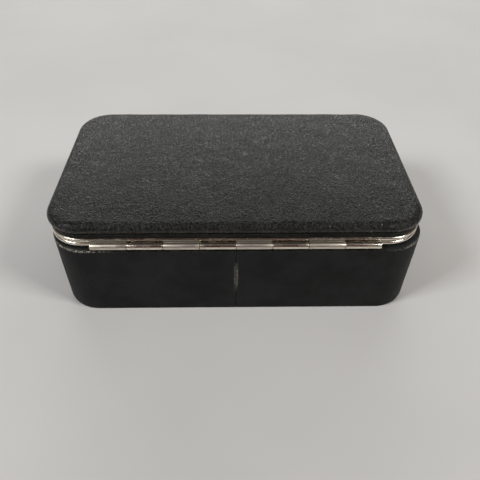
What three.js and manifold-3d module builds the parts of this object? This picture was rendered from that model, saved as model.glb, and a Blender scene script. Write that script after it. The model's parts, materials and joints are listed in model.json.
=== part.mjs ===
// A poker chip case: a leather-covered box with rounded corners and a metal rim on each half.
// The lid turns on a row of rolled knuckles along the back, and a push button at the front lets it go.
// Inside are troughs for standing chips and a well for two packs of cards.
//
// Millimetres, +Z up, -Y is the hinge side and +Y the latch side. The metal rims, and all that hangs on them
// or stands inside them, follow one rounded outline that is centred here on x = y = 0. The skin of the base
// follows a second one, which is deeper at the back by the room for the hinge and lies a little to one side.
// At the end everything moves so that the origin is the centre of the underside.
// A point on a wall is given by its inset, its distance inwards from such an outline, and by its height.

import * as THREE from "three";
import { mergeVertices } from "three/addons/utils/BufferGeometryUtils.js";
import Module from "manifold-3d";

// ---- Driving dimensions ----

const caseLength = 200.8;
const caseDepth = 118;
const cornerRadius = 19.8;
const hingeSetBack = 1.5; // how far the rims stand in from the base at the back, to leave room for the hinge
const sideShift = -1.1; // how far the rims lie off the base's middle
const baseHeight = 47.2; // top of the base's leather
const splitHeight = 50.3; // where the two metal rims meet
const lidLeatherBottom = 56.8;
const lidUnderRound = 1.5; // the leather is turned under the lid with this radius
const lidEdgeTop = 62.3; // top of the lid's leather along its rounded edge
const lidCrown = 1.5; // how much the middle of the lid stands above that edge
const lidEdgeRound = 5;
const lidSetBack = 0.4; // how far the lid's leather stands in from the rims' outline

const leather = 1;
const undersideLeather = 1.2;
const wallThickness = 3;
const boardThickness = 2.5;
const lidTopThickness = 2.2;
const liningThickness = 0.6;
const lidLiningTop = 0.8;
const padEdge = 0.8; // thickness of the lid's pad at its edge
const glueGap = 0.3; // between two pieces that are glued or rest on each other
const tongue = 1.7; // the thin top of a wall, which the metal rim is pressed over

const rimSheet = 0.6; // sheet that the metal rims are rolled from
const rimInset = 1.7;
const rimBulge = 0.6; // how far the rounded lip stands out of that inset
const rimLip = 2.5; // height of one lip
const rimRoll = 0.35; // where the flange turns over into the lip
const rimInnerLeg = 3.2;

const weltWidth = 1.1;
const weltHeight = 1.5;
const weltChamfer = 0.5;
const weltSkirt = 0.4; // the strip that hangs from the welt and covers the board down to the rim

const knuckleCount = 8;
const knucklePitch = 18.85;
const knuckleRadius = 1.85;
const hingeSheet = 0.7;
const pinRadius = 0.9;
const pinClearance = 0.06;
const hingeDrop = 0.3; // the hinge axis is this much below the split

const chipDiameter = 38;
const chipClearance = 0.4;
const troughLean = 8.7; // from the tray's end to the trough's end
const trayWall = 1.5;
const trayRim = 2.2; // least wall outside a compartment, at the tray's rounded corners
const trayFloor = 1.6;
const cardWellWidth = 58.2;
const cardWellEnd = 6.9; // from the tray's end to the card well's end
const thumbRadius = 9;
const thumbSquash = 0.5; // how flat the thumb notch is
const thumbSill = 4; // from the card well's floor to the notch

const latchRise = 1.85; // how far the button lies above the middle of the wall over the tray
const buttonWidth = 11;
const buttonHeight = 6.5;
const buttonProud = 1.5; // how far the button stands out of its plate
const buttonTravel = 1.2;
const buttonFlange = 0.7; // how far its flange stands out all round, behind the leather
const plateWidth = 30;
const plateHeight = 12;
const plateThickness = 1;
const rivetSpacing = 22;
const catchWidth = 10;
const catchSheet = 0.7;
const springSheet = 0.4;
const seamGap = 0.35; // between the two ends of the base's leather, at the middle of the back

const buttonRound = 1.5; // corner radius of the button
const buttonStep = 0.4; // the step round its face
const stemWidth = 5;
const stemHeight = 3;
const plateRound = 3;
const rivetShank = 0.9;
const rivetHead = 1.7; // radius of a rivet's head
const plateRivetTall = 0.8;
const springRivetTall = 0.7;
const springWidth = 12;
const springAboveTray = 2.3;
const springRivetRise = 2.5; // from the spring's foot to its rivet
const hookWidth = 6;
const hookRise = 1.6; // from the foot of the lid's catch to the hook
const catchDepth = 0.8; // how far the catch lies into the wall from its inner face
const catchDrop = 4.2; // how far the catch reaches below the top of the base's leather
const catchRise = 2.9; // how far it reaches above the split, where it is fixed
const windowRoom = 0.5; // clearance round the hook in the catch's window
const caseWidth = 20;
const caseSheet = 0.6;
const caseCavity = 2.8; // room for the spring to swing inwards
const caseBelowSpring = 1;
const caseAboveShoulder = 0.6;
const earSpan = 35; // across both ears of the latch's cover
const earHeight = 6;
const nailSpacing = 30;
const nailShank = 0.6;
const nailHead = 1.2;
const nailHeadTall = 0.6;
const nailDepth = 1.5; // how far a nail goes into the wall

// ---- Heights and insets that follow from them ----

const wrapBottom = undersideLeather + glueGap;
const wallInset = leather + glueGap;
const wallInner = wallInset + wallThickness;
const liningInset = wallInner + glueGap;
const liningInner = liningInset + liningThickness;
const trayInset = liningInner + glueGap;
const tongueInset = wallInner - tongue;
const shoulder = baseHeight - leather - glueGap;
const baseRimTop = splitHeight - glueGap / 2;
const lidRimBottom = splitHeight + glueGap / 2;
const trayBottom = wrapBottom + boardThickness + glueGap;
const hingeHeight = splitHeight - hingeDrop;
const rimDepth = caseDepth - hingeSetBack;
const front = rimDepth / 2;
const hingeInset = rimInset - rimBulge - glueGap - knuckleRadius;
const hingeY = -(rimDepth / 2 - hingeInset);
const chipRadius = (chipDiameter + chipClearance) / 2;
const trayTop = trayBottom + trayFloor + chipRadius;
const latchHeight = (trayTop + baseHeight) / 2 + latchRise;

// ---- Colours ----

const finish = (color, roughness, metalness) =>
  new THREE.MeshStandardMaterial({ color, roughness, metalness });
const blackLeather = finish(0x1c1d1d, 0.5, 0);
const fibreboard = finish(0x7a6248, 0.9, 0);
const nickel = finish(0xc9c3b6, 0.22, 1);
const brushedNickel = finish(0xb5b0a5, 0.45, 1);
const velvet = finish(0x5a1420, 0.95, 0);
const foam = finish(0xd8cfa8, 0.9, 0);
const springSteel = finish(0x8d8f93, 0.35, 1);

// ---- Helpers ----

const wasm = await Module();
wasm.setup();
const cornerSteps = 8;
const roundSteps = 16;

// A closed manifold-3d solid from any closed three.js geometry.
function solidOf(geometry) {
  const bare = new THREE.BufferGeometry();
  const flat = geometry.index ? geometry.toNonIndexed() : geometry;
  bare.setAttribute("position", flat.getAttribute("position"));
  const merged = mergeVertices(bare, 1e-4);
  return new wasm.Manifold(
    new wasm.Mesh({
      numProp: 3,
      vertProperties: merged.attributes.position.array,
      triVerts: new Uint32Array(merged.index.array),
    }),
  );
}

function geometryOf(solid) {
  const { numProp, numVert, vertProperties, triVerts } = solid.getMesh();
  const points = new Float32Array(numVert * 3);
  for (let i = 0; i < numVert; i++) {
    points.set(vertProperties.subarray(i * numProp, i * numProp + 3), i * 3);
  }
  const geometry = new THREE.BufferGeometry();
  geometry.setAttribute("position", new THREE.BufferAttribute(points, 3));
  geometry.setIndex(new THREE.BufferAttribute(triVerts, 1));
  return geometry;
}

const cut = (body, ...tools) =>
  geometryOf(tools.reduce((left, tool) => left.subtract(solidOf(tool)), solidOf(body)));
const join = (body, ...others) =>
  geometryOf(others.reduce((sum, other) => sum.add(solidOf(other)), solidOf(body)));

// A block between two corners, each [x, y, z].
function block([x0, y0, z0], [x1, y1, z1]) {
  const box = new THREE.BoxGeometry(x1 - x0, y1 - y0, z1 - z0);
  return box.translate((x0 + x1) / 2, (y0 + y1) / 2, (z0 + z1) / 2);
}

// The outline of the rims and the outline of the base's skin.
const rims = { depth: rimDepth, x: 0, y: 0 };
const skin = { depth: caseDepth, x: -sideShift, y: -hingeSetBack / 2 };

// An outline at an inset, as a loop of points that runs anticlockwise seen from above.
function outline(inset, frame = rims, shrink = 1) {
  const halfX = caseLength / 2 - inset;
  const halfY = frame.depth / 2 - inset;
  const radius = Math.max(cornerRadius - inset, 1);
  const corners = [[1, 1], [-1, 1], [-1, -1], [1, -1]];
  return corners.flatMap(([sx, sy], quarter) =>
    Array.from({ length: cornerSteps + 1 }, (_, i) => {
      const angle = (quarter + i / cornerSteps) * (Math.PI / 2);
      return new THREE.Vector2(
        frame.x + (sx * (halfX - radius) + radius * Math.cos(angle)) * shrink,
        frame.y + (sy * (halfY - radius) + radius * Math.sin(angle)) * shrink,
      );
    }),
  );
}

// Walls between neighbouring loops of points. A ring is closed on itself: its last loop meets its first.
// A cup's first and last loops are single points, its two poles.
function loft(loops, isRing) {
  const count = Math.max(...loops.map((loop) => loop.length));
  const corners = [];
  const pairs = isRing ? loops.length : loops.length - 1;
  for (let k = 0; k < pairs; k++) {
    const low = loops[k];
    const high = loops[(k + 1) % loops.length];
    for (let i = 0; i < count; i++) {
      const j = (i + 1) % count;
      if (low.length > 1) corners.push(low[i], low[j], high[high.length > 1 ? j : 0]);
      if (high.length > 1) corners.push(low[low.length > 1 ? i : 0], high[j], high[i]);
    }
  }
  const geometry = new THREE.BufferGeometry().setFromPoints(corners);
  if (solidOf(geometry).volume() > 0) return geometry;
  return new THREE.BufferGeometry().setFromPoints(corners.reverse());
}

const loopAt = ([inset, z, frame, shrink]) =>
  outline(inset, frame, shrink).map((p) => new THREE.Vector3(p.x, p.y, z));
const poleAt = (z) => [new THREE.Vector3(0, 0, z)];

// A closed profile of [inset, z, frame] points carried round the case. The frame is the rims' unless given.
const ring = (profile) => loft(profile.map(loopAt), true);

// An open profile carried round the case, from the pole above its first point to the pole at its last.
const cup = (startZ, profile, endZ) =>
  loft([poleAt(startZ), ...profile.map(loopAt), poleAt(endZ)], false);

// A flat plate that fills the outline at an inset.
function plate(inset, bottom, top, frame = rims) {
  const geometry = new THREE.ExtrudeGeometry(new THREE.Shape(outline(inset, frame)), {
    depth: top - bottom,
    bevelEnabled: false,
  });
  return geometry.translate(0, 0, bottom);
}

// Quarter of an ellipse from [left, foot] up and over to [left + wide, foot + tall], as profile points.
function shoulderArc(left, foot, wide, tall, steps) {
  return Array.from({ length: steps + 1 }, (_, i) => {
    const angle = (i / steps) * (Math.PI / 2);
    return [left + wide * (1 - Math.cos(angle)), foot + tall * Math.sin(angle)];
  });
}

// Loops of a crown that rises by `rise` from the loop at `inset`, as the square of the way in.
function crown(inset, z, rise) {
  return [0.85, 0.6, 0.3].map((shrink) => [inset, z + rise * (1 - shrink * shrink), rims, shrink]);
}

// A rectangle with rounded corners, centred on the origin.
function roundedRectangle(width, height, radius) {
  const shape = new THREE.Shape();
  const [x, y] = [width / 2, height / 2];
  shape.moveTo(-x + radius, -y);
  shape.lineTo(x - radius, -y);
  shape.absarc(x - radius, -y + radius, radius, -Math.PI / 2, 0);
  shape.lineTo(x, y - radius);
  shape.absarc(x - radius, y - radius, radius, 0, Math.PI / 2);
  shape.lineTo(-x + radius, y);
  shape.absarc(-x + radius, y - radius, radius, Math.PI / 2, Math.PI);
  shape.lineTo(-x, -y + radius);
  shape.absarc(-x + radius, -y + radius, radius, Math.PI, 1.5 * Math.PI);
  return shape;
}

// A shape drawn as seen from the front, given a thickness from one inset to another in the front wall.
function frontPiece(shape, outerInset, innerInset, z, curveSegments = 3) {
  const geometry = new THREE.ExtrudeGeometry(shape, {
    depth: innerInset - outerInset,
    bevelEnabled: false,
    curveSegments,
  });
  return geometry.rotateX(Math.PI / 2).translate(0, front - outerInset, z);
}

const frontBox = (halfWidth, outerInset, innerInset, bottom, top, x = 0) =>
  block(
    [x - halfWidth, front - innerInset, bottom],
    [x + halfWidth, front - outerInset, top],
  );

// A round bar through the front wall at x, from one inset to another.
function frontBar(radius, outerInset, innerInset, x, z) {
  const bar = new THREE.CylinderGeometry(radius, radius, innerInset - outerInset, roundSteps);
  return bar.translate(x, front - (outerInset + innerInset) / 2, z);
}

// A round-headed rivet or nail, its head's face on `seat`, its shank going out or in by `reach`.
function rivet(headRadius, headHeight, shankRadius, seat, reach, x, z) {
  const profile = [
    new THREE.Vector2(0, -reach),
    new THREE.Vector2(shankRadius, -reach),
    new THREE.Vector2(shankRadius, 0),
    new THREE.Vector2(headRadius, 0),
    new THREE.Vector2(headRadius * 0.8, headHeight * 0.65),
    new THREE.Vector2(0, headHeight),
  ];
  const geometry = new THREE.LatheGeometry(profile, roundSteps);
  return geometry.translate(x, front - seat, z);
}

// ---- Openings for the latch, shared by every piece that they pass through ----

const latchHole = glueGap; // clearance round anything that passes through a wall
const outside = 5; // how far a cutting tool runs on past the surface that it enters
const stemStart = wallInset + buttonFlange; // inset where the button narrows to its stem
const buttonStop = stemStart + buttonTravel + glueGap;
const wallEnd = liningInner + glueGap; // inset just past everything in the wall

const catchInset = wallInner - catchDepth;
const catchBottom = baseHeight - catchDrop;
const catchTop = splitHeight + catchRise;
const hookZ = catchBottom + hookRise; // underside of the spring's hook
const springInset = liningInner + glueGap;
const springBottom = trayTop + springAboveTray;
const springRivetZ = springBottom + springRivetRise;
const caseBottom = springBottom - caseBelowSpring;
const caseTop = shoulder + caseAboveShoulder;
const nailX = nailSpacing / 2;
const nailTip = wallInner - nailDepth;

// The hole through the plate and the leather passes the button but not the flange behind it.
const buttonHole = (margin = 0) =>
  frontPiece(
    roundedRectangle(
      buttonWidth + 2 * (margin + latchHole),
      buttonHeight + 2 * (margin + latchHole),
      buttonRound + latchHole,
    ),
    -outside,
    buttonStop,
    latchHeight,
  );
const stemHole = () =>
  frontBox(
    stemWidth / 2 + latchHole,
    stemStart,
    wallEnd,
    latchHeight - stemHeight / 2 - latchHole,
    latchHeight + stemHeight / 2 + latchHole,
  );
const rivetHoles = () =>
  [-1, 1].map((side) =>
    frontBar(rivetShank + latchHole, -outside, wallEnd, (side * rivetSpacing) / 2, latchHeight),
  );
const springRivetHole = () =>
  frontBar(rivetShank + latchHole, wallInset - glueGap, wallEnd + outside, 0, springRivetZ);
const caseNailHoles = () =>
  [-1, 1].map((side) =>
    frontBar(nailShank + latchHole / 2, nailTip - glueGap, wallEnd + outside, side * nailX, latchHeight),
  );
const catchSlot = (bottom, top) =>
  frontBox(
    catchWidth / 2 + latchHole,
    catchInset - latchHole,
    catchInset + catchSheet + latchHole,
    bottom,
    top,
  );
const hookWindow = () =>
  frontBox(
    hookWidth / 2 + latchHole,
    catchInset,
    wallEnd,
    hookZ - latchHole,
    hookZ + springSheet + latchHole,
  );

// ---- The base ----

function undersideCover() {
  return plate(glueGap, 0, undersideLeather, skin);
}

// The side cover is one strip, turned in at the top until it reaches the wall's tongue under the rim. Its two
// ends meet in a butt seam at the middle of the back.
function baseSideCover() {
  const edge = 0.8;
  const strip = ring([
    [glueGap, wrapBottom, skin],
    [0, wrapBottom + glueGap, skin],
    [0, baseHeight - edge, skin],
    [edge * 0.3, baseHeight - edge * 0.3, skin],
    [edge, baseHeight, skin],
    [tongueInset - glueGap, baseHeight],
    [tongueInset - glueGap, baseHeight - leather],
    [leather, baseHeight - leather, skin],
    [leather, wrapBottom, skin],
  ]);
  const slit = block([-seamGap / 2, -caseDepth, 0], [seamGap / 2, 0, baseHeight + 1]);
  return cut(strip, slit, buttonHole(), ...rivetHoles());
}

function baseWall() {
  const wall = ring([
    [wallInset, wrapBottom, skin],
    [wallInset, shoulder, skin],
    [tongueInset, shoulder],
    [tongueInset, baseRimTop - rimSheet - glueGap],
    [wallInner, baseRimTop - rimSheet - glueGap],
    [wallInner, wrapBottom],
  ]);
  return cut(
    wall,
    buttonHole(buttonFlange),
    stemHole(),
    ...rivetHoles(),
    springRivetHole(),
    ...caseNailHoles(),
    catchSlot(catchBottom - latchHole, splitHeight),
    hookWindow(),
  );
}

function baseLining() {
  const wall = ring([
    [liningInset, trayBottom],
    [liningInset, baseRimTop - rimInnerLeg - glueGap],
    [liningInner, baseRimTop - rimInnerLeg - glueGap],
    [liningInner, trayBottom],
  ]);
  return cut(wall, stemHole(), springRivetHole(), ...caseNailHoles(), hookWindow());
}

// One rolled rim: a rounded lip outside, a flat top and a leg inside. `up` is -1 for the base, whose legs
// go down from the split, and 1 for the lid.
function rim(edge, up) {
  const at = (inset, rise) => [inset, edge + up * rise];
  return ring([
    at(rimInset, 0),
    at(rimInset - rimRoll, rimRoll),
    at(rimInset - rimBulge, rimLip * 0.4),
    at(rimInset - rimBulge * 0.8, rimLip * 0.7),
    at(rimInset, rimLip),
    at(rimInset + rimSheet, rimLip),
    at(rimInset + rimSheet, rimSheet),
    at(liningInset, rimSheet),
    at(liningInset, rimInnerLeg),
    at(liningInset + rimSheet, rimInnerLeg),
    at(liningInset + rimSheet, 0),
  ]);
}

const baseRim = () => cut(rim(baseRimTop, -1), catchSlot(baseRimTop - 1, baseRimTop + 1));
const lidRim = () => cut(rim(lidRimBottom, 1), catchSlot(lidRimBottom - 1, lidRimBottom + 1));

// ---- The inserts: a rack of troughs for standing chips and a box for two packs of cards ----

const trayHalfX = caseLength / 2 - trayInset;
const trayHalfY = rimDepth / 2 - trayInset;
const trayRadius = cornerRadius - trayInset;

// The furthest x that a square-cornered compartment can reach, when it ends at y.
function reach(y) {
  const intoCorner = Math.max(y - (trayHalfY - trayRadius), 0);
  const inside = trayRadius - trayRim;
  return trayHalfX - trayRadius + Math.sqrt(inside * inside - intoCorner * intoCorner);
}

const wellHalfY = trayHalfY - cardWellEnd;
const wellRight = reach(wellHalfY);
const wellLeft = wellRight - cardWellWidth;
const insertSplit = wellLeft - trayWall - glueGap / 2;
const troughHalfY = trayHalfY - troughLean;
const rackRight = insertSplit - glueGap / 2 - trayWall;
const troughPitch = 2 * chipRadius + trayWall;
const troughCount = Math.floor((rackRight + reach(troughHalfY) + trayWall) / troughPitch);
const troughCentres = Array.from(
  { length: troughCount },
  (_, i) => rackRight - chipRadius - i * troughPitch,
);

// The part of the tray's outline that lies between two values of x.
function trayPart(fromX, toX) {
  const whole = solidOf(plate(trayInset, trayBottom, trayTop));
  const keep = block([fromX, -caseDepth, trayBottom - 1], [toX, caseDepth, trayTop + 1]);
  return geometryOf(whole.intersect(solidOf(keep)));
}

function chipRack() {
  const troughs = troughCentres.map((x) => {
    const trough = new THREE.CylinderGeometry(chipRadius, chipRadius, 2 * troughHalfY, 2 * roundSteps);
    return trough.translate(x, 0, trayTop);
  });
  return cut(trayPart(-caseLength, insertSplit - glueGap / 2), ...troughs);
}

function cardBox() {
  const middle = (wellLeft + wellRight) / 2;
  const floor = trayBottom + trayFloor;
  const well = block([wellLeft, -wellHalfY, floor], [wellRight, wellHalfY, trayTop + 1]);
  const thumb = new THREE.CylinderGeometry(thumbRadius, thumbRadius, trayTop, roundSteps);
  thumb.rotateX(Math.PI / 2).scale(1, thumbSquash, 1);
  const notches = [-1, 1].map((side) =>
    thumb.clone().translate(middle, side * wellHalfY, floor + thumbSill + trayTop / 2),
  );
  return cut(trayPart(insertSplit + glueGap / 2, caseLength), well, ...notches);
}

// ---- The hinge ----

const hingeLength = knuckleCount * knucklePitch;

// A knuckle rolled from a strip whose flat end, or tab, lies along a rim. `up` is 1 where it lies on the lid.
function knuckle(index, up) {
  const tabReach = up > 0 ? lidRimBottom + rimLip - hingeHeight : hingeHeight - baseHeight - glueGap;
  const tabStart = knuckleRadius - hingeSheet;
  const tangent = Math.acos(tabStart / knuckleRadius);
  const section = new THREE.Shape();
  section.moveTo(knuckleRadius, 0);
  section.lineTo(knuckleRadius, up * tabReach);
  section.lineTo(tabStart, up * tabReach);
  section.lineTo(tabStart, up * knuckleRadius * Math.sin(tangent));
  section.absarc(0, 0, knuckleRadius, up * tangent, up * 2 * Math.PI, up < 0);
  const bore = new THREE.Path();
  bore.absarc(0, 0, pinRadius + pinClearance, 0, 2 * Math.PI);
  section.holes.push(bore);
  const roll = new THREE.ExtrudeGeometry(section, {
    depth: knucklePitch - glueGap,
    bevelEnabled: false,
    curveSegments: roundSteps,
  });
  // The section's x becomes +Y, inwards from the back, and its y becomes +Z.
  const start = -hingeLength / 2 + index * knucklePitch + glueGap / 2;
  const place = new THREE.Matrix4().makeBasis(
    new THREE.Vector3(0, 1, 0),
    new THREE.Vector3(0, 0, 1),
    new THREE.Vector3(1, 0, 0),
  );
  return roll.applyMatrix4(place.setPosition(start, hingeY, hingeHeight));
}

function hingePin() {
  const pin = new THREE.CylinderGeometry(pinRadius, pinRadius, hingeLength - glueGap, 2 * roundSteps);
  return pin.rotateZ(Math.PI / 2).translate(0, hingeY, hingeHeight);
}

// ---- The latch ----

const plateFace = -glueGap - plateThickness; // inset of the plate's front

function latchPlate() {
  const shape = roundedRectangle(plateWidth, plateHeight, plateRound);
  return cut(
    frontPiece(shape, plateFace, -glueGap, latchHeight, 4),
    buttonHole(),
    ...rivetHoles(),
  );
}

// The button's face is stepped in at its edge. Its flange, behind the leather, keeps it from falling out.
function latchButton() {
  const face = plateFace - buttonProud;
  const layer = (margin, from, to) =>
    frontPiece(
      roundedRectangle(buttonWidth + 2 * margin, buttonHeight + 2 * margin, buttonRound),
      from,
      to,
      latchHeight,
    );
  const front = layer(-buttonStep, face, face + 2 * buttonStep);
  const cap = layer(0, face + buttonStep, stemStart);
  const flange = layer(buttonFlange, wallInset, stemStart);
  const stem = frontBox(
    stemWidth / 2,
    stemStart - glueGap,
    springInset - glueGap,
    latchHeight - stemHeight / 2,
    latchHeight + stemHeight / 2,
  );
  return join(cap, front, flange, stem);
}

// A leaf spring inside the wall. Its hook goes out through the wall into the window of the lid's catch.
function latchSpring() {
  const leaf = frontBox(
    springWidth / 2,
    springInset,
    springInset + springSheet,
    springBottom,
    hookZ + springSheet,
  );
  const hook = frontBox(
    hookWidth / 2,
    catchInset - latchHole,
    springInset + springSheet,
    hookZ,
    hookZ + springSheet,
  );
  return cut(join(leaf, hook), springRivetHole());
}

// The cover over the spring: a shallow box, open towards the wall, with an ear at each side.
function latchCase() {
  const back = springInset + caseCavity;
  const shell = frontBox(caseWidth / 2, springInset, back + caseSheet, caseBottom, caseTop);
  const ears = frontBox(
    earSpan / 2,
    springInset,
    springInset + caseSheet,
    latchHeight - earHeight / 2,
    latchHeight + earHeight / 2,
  );
  const hollow = frontBox(
    caseWidth / 2 - caseSheet,
    springInset - 1,
    back,
    caseBottom + caseSheet,
    caseTop - caseSheet,
  );
  return cut(join(shell, ears), hollow, ...caseNailHoles());
}

// A sheet tongue that comes down from the lid's rim, with a window that the spring's hook enters.
function lidCatch() {
  const sheet = frontBox(catchWidth / 2, catchInset, catchInset + catchSheet, catchBottom, catchTop);
  const window = frontBox(
    hookWidth / 2 + windowRoom,
    catchInset - catchSheet,
    catchInset + 2 * catchSheet,
    hookZ - windowRoom,
    hookZ + springSheet + windowRoom,
  );
  return cut(sheet, window);
}

// ---- The lid ----

const lidOuter = lidSetBack;
const lidFlange = tongueInset - glueGap; // where the leather that is turned under ends
const lidInner = lidOuter + leather;
const lidFoot = lidLeatherBottom + lidUnderRound; // where the rounded edge begins
const edgeInset = lidOuter + lidEdgeRound;
const edgeTall = lidEdgeTop - lidFoot;
const lidWall = lidInner + glueGap;
const lidWallBottom = lidLeatherBottom + leather + glueGap;
const lidBoardTop = lidEdgeTop - leather - padEdge - 2 * glueGap;
const lidBoardBottom = lidBoardTop - lidTopThickness;

function lidCover() {
  const inner = shoulderArc(lidInner, lidFoot, lidEdgeRound - leather, edgeTall - leather, 4);
  return cup(
    lidEdgeTop + lidCrown,
    [
      ...crown(edgeInset, lidEdgeTop, lidCrown).reverse(),
      ...shoulderArc(lidOuter, lidFoot, lidEdgeRound, edgeTall, 6).reverse(),
      ...shoulderArc(lidOuter, lidFoot, lidUnderRound, -lidUnderRound, 3).slice(1),
      [lidFlange, lidLeatherBottom],
      [lidFlange, lidLeatherBottom + leather],
      [lidInner, lidLeatherBottom + leather],
      ...inner,
      ...crown(edgeInset, lidEdgeTop - leather, lidCrown),
    ],
    lidEdgeTop + lidCrown - leather,
  );
}

function lidPad() {
  const bottom = lidBoardTop + glueGap;
  const edge = lidEdgeTop - leather - glueGap;
  return cup(
    edge + lidCrown,
    [...crown(edgeInset, edge, lidCrown).reverse(), [edgeInset, edge], [edgeInset, bottom]],
    bottom,
  );
}

function lidBoard() {
  const wide = edgeInset - lidWall;
  const edge = shoulderArc(lidWall, lidWallBottom, wide, lidBoardTop - lidWallBottom, 4).reverse();
  const board = cup(
    lidBoardTop,
    [
      ...edge,
      [tongueInset, lidWallBottom],
      [tongueInset, lidRimBottom + rimSheet + glueGap],
      [wallInner, lidRimBottom + rimSheet + glueGap],
      [wallInner, lidBoardBottom],
    ],
    lidBoardBottom,
  );
  return cut(board, catchSlot(splitHeight, catchTop + latchHole));
}

// A thin leather roll that closes the step between the lid's cover and its metal rim. The strip under it
// covers the board down to the rim.
function lidWelt() {
  const inner = tongueInset - glueGap;
  const top = lidLeatherBottom - glueGap;
  const bottom = top - weltHeight;
  const outer = inner - weltWidth;
  const foot = lidRimBottom + rimLip + glueGap;
  return ring([
    [inner, foot],
    [inner - weltSkirt, foot],
    [inner - weltSkirt, bottom],
    [outer + weltChamfer, bottom],
    [outer, bottom + weltChamfer],
    [outer, top - weltChamfer],
    [outer + weltChamfer, top],
    [inner, top],
  ]);
}

function lidLining() {
  const top = lidBoardBottom - glueGap;
  const bottom = lidRimBottom + rimInnerLeg + glueGap;
  return cup(
    top,
    [
      [liningInset, top],
      [liningInset, bottom],
      [liningInner, bottom],
      [liningInner, top - lidLiningTop],
    ],
    top - lidLiningTop,
  );
}

// ---- Assembly ----

const group = new THREE.Group();
group.position.set(sideShift, hingeSetBack / 2, 0);

function add(name, geometry, material) {
  const mesh = new THREE.Mesh(geometry, material);
  mesh.name = name;
  group.add(mesh);
}

add("underside_cover", undersideCover(), blackLeather);
add("base_side_cover", baseSideCover(), blackLeather);
add("base_wall", baseWall(), fibreboard);
add("base_board", plate(liningInset, wrapBottom, wrapBottom + boardThickness), fibreboard);
add("base_rim", baseRim(), nickel);
add("base_lining", baseLining(), velvet);
add("chip_rack", chipRack(), velvet);
add("card_box", cardBox(), velvet);

for (let i = 0; i < knuckleCount; i++) {
  const onLid = i % 2 === 0;
  const number = Math.floor(i / 2) + 1;
  const name = (onLid ? "lid" : "base") + "_knuckle_" + number;
  add(name, knuckle(i, onLid ? 1 : -1), onLid ? brushedNickel : nickel);
}
add("hinge_pin", hingePin(), springSteel);

add("latch_plate", latchPlate(), nickel);
for (const [side, x] of [["left", -rivetSpacing / 2], ["right", rivetSpacing / 2]]) {
  const seat = plateFace - glueGap / 3;
  const shape = rivet(rivetHead, plateRivetTall, rivetShank, seat, wallInner - seat, x, latchHeight);
  add("plate_rivet_" + side, shape, nickel);
}
add("latch_button", latchButton(), nickel);
add("latch_spring", latchSpring(), springSteel);
add("latch_case", latchCase(), brushedNickel);

// These two kinds of fastener are driven from inside the case, so their heads point inwards.
function insideRivet(headRadius, headHeight, shankRadius, seat, tip, x, z) {
  const turned = rivet(headRadius, headHeight, shankRadius, 0, seat - tip, 0, 0);
  turned.translate(0, -front, 0).rotateX(Math.PI);
  return turned.translate(x, front - seat, z);
}
const springSeat = springInset + springSheet + glueGap / 3;
add(
  "spring_rivet",
  insideRivet(rivetHead, springRivetTall, rivetShank, springSeat, wallInset + glueGap, 0, springRivetZ),
  springSteel,
);
for (const [side, x] of [["left", -nailX], ["right", nailX]]) {
  const seat = springInset + caseSheet + glueGap / 3;
  const nail = insideRivet(nailHead, nailHeadTall, nailShank, seat, nailTip, x, latchHeight);
  add("case_nail_" + side, nail, nickel);
}

add("lid_cover", lidCover(), blackLeather);
add("lid_pad", lidPad(), foam);
add("lid_board", lidBoard(), fibreboard);
add("lid_welt", lidWelt(), blackLeather);
add("lid_rim", lidRim(), nickel);
add("lid_lining", lidLining(), velvet);
add("lid_catch", lidCatch(), springSteel);

export default group;
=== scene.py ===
# %% [markdown]
# # A poker chip case
# The case is a shallow box with rounded corners. Black leather covers both halves, each half ends in a
# rolled nickel rim, and the rims turn on a row of knuckles along the back. Burgundy velvet lines the
# inside. Hard and soft pieces alike follow two rounded outlines, so most shapes here are one idea used many
# times: a small profile carried round an outline.

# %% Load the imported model
import json
import math

import bmesh
import bpy
import numpy as np
from mathutils import Matrix, Vector


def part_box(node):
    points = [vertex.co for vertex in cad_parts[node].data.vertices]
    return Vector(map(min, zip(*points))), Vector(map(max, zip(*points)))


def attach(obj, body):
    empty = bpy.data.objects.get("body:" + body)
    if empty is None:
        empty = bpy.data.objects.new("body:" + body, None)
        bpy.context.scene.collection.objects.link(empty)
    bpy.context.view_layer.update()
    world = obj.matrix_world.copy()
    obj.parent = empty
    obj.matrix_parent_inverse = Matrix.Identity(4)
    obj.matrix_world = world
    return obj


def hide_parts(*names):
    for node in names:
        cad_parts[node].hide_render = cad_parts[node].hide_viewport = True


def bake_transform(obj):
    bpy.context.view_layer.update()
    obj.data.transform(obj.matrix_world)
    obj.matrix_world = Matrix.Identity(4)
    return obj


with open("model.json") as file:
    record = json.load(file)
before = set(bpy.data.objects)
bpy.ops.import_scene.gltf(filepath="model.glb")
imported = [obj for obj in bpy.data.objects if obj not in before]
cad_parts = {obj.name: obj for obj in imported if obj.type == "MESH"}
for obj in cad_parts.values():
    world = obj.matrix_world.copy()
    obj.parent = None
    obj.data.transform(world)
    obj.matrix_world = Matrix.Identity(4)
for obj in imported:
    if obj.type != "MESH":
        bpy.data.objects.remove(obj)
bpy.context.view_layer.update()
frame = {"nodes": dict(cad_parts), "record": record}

MM = 0.001
record = frame["record"]
scene = bpy.context.scene

# %% [markdown]
# ## Camera
# The camera looks down on the hinge side. It is described the way a tripod is set up: the point it aims at,
# how far away it stands, how steeply it looks down, how far it is turned round the case, and its slight
# tilt.

# %% Set up the camera
AIM = Vector((2.24, -1.15, 0)) * MM
DISTANCE = 331.6 * MM
LOOK_DOWN = math.radians(43.34)
TURNED = math.radians(-1.45)
TILT = math.radians(0.71)

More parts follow.
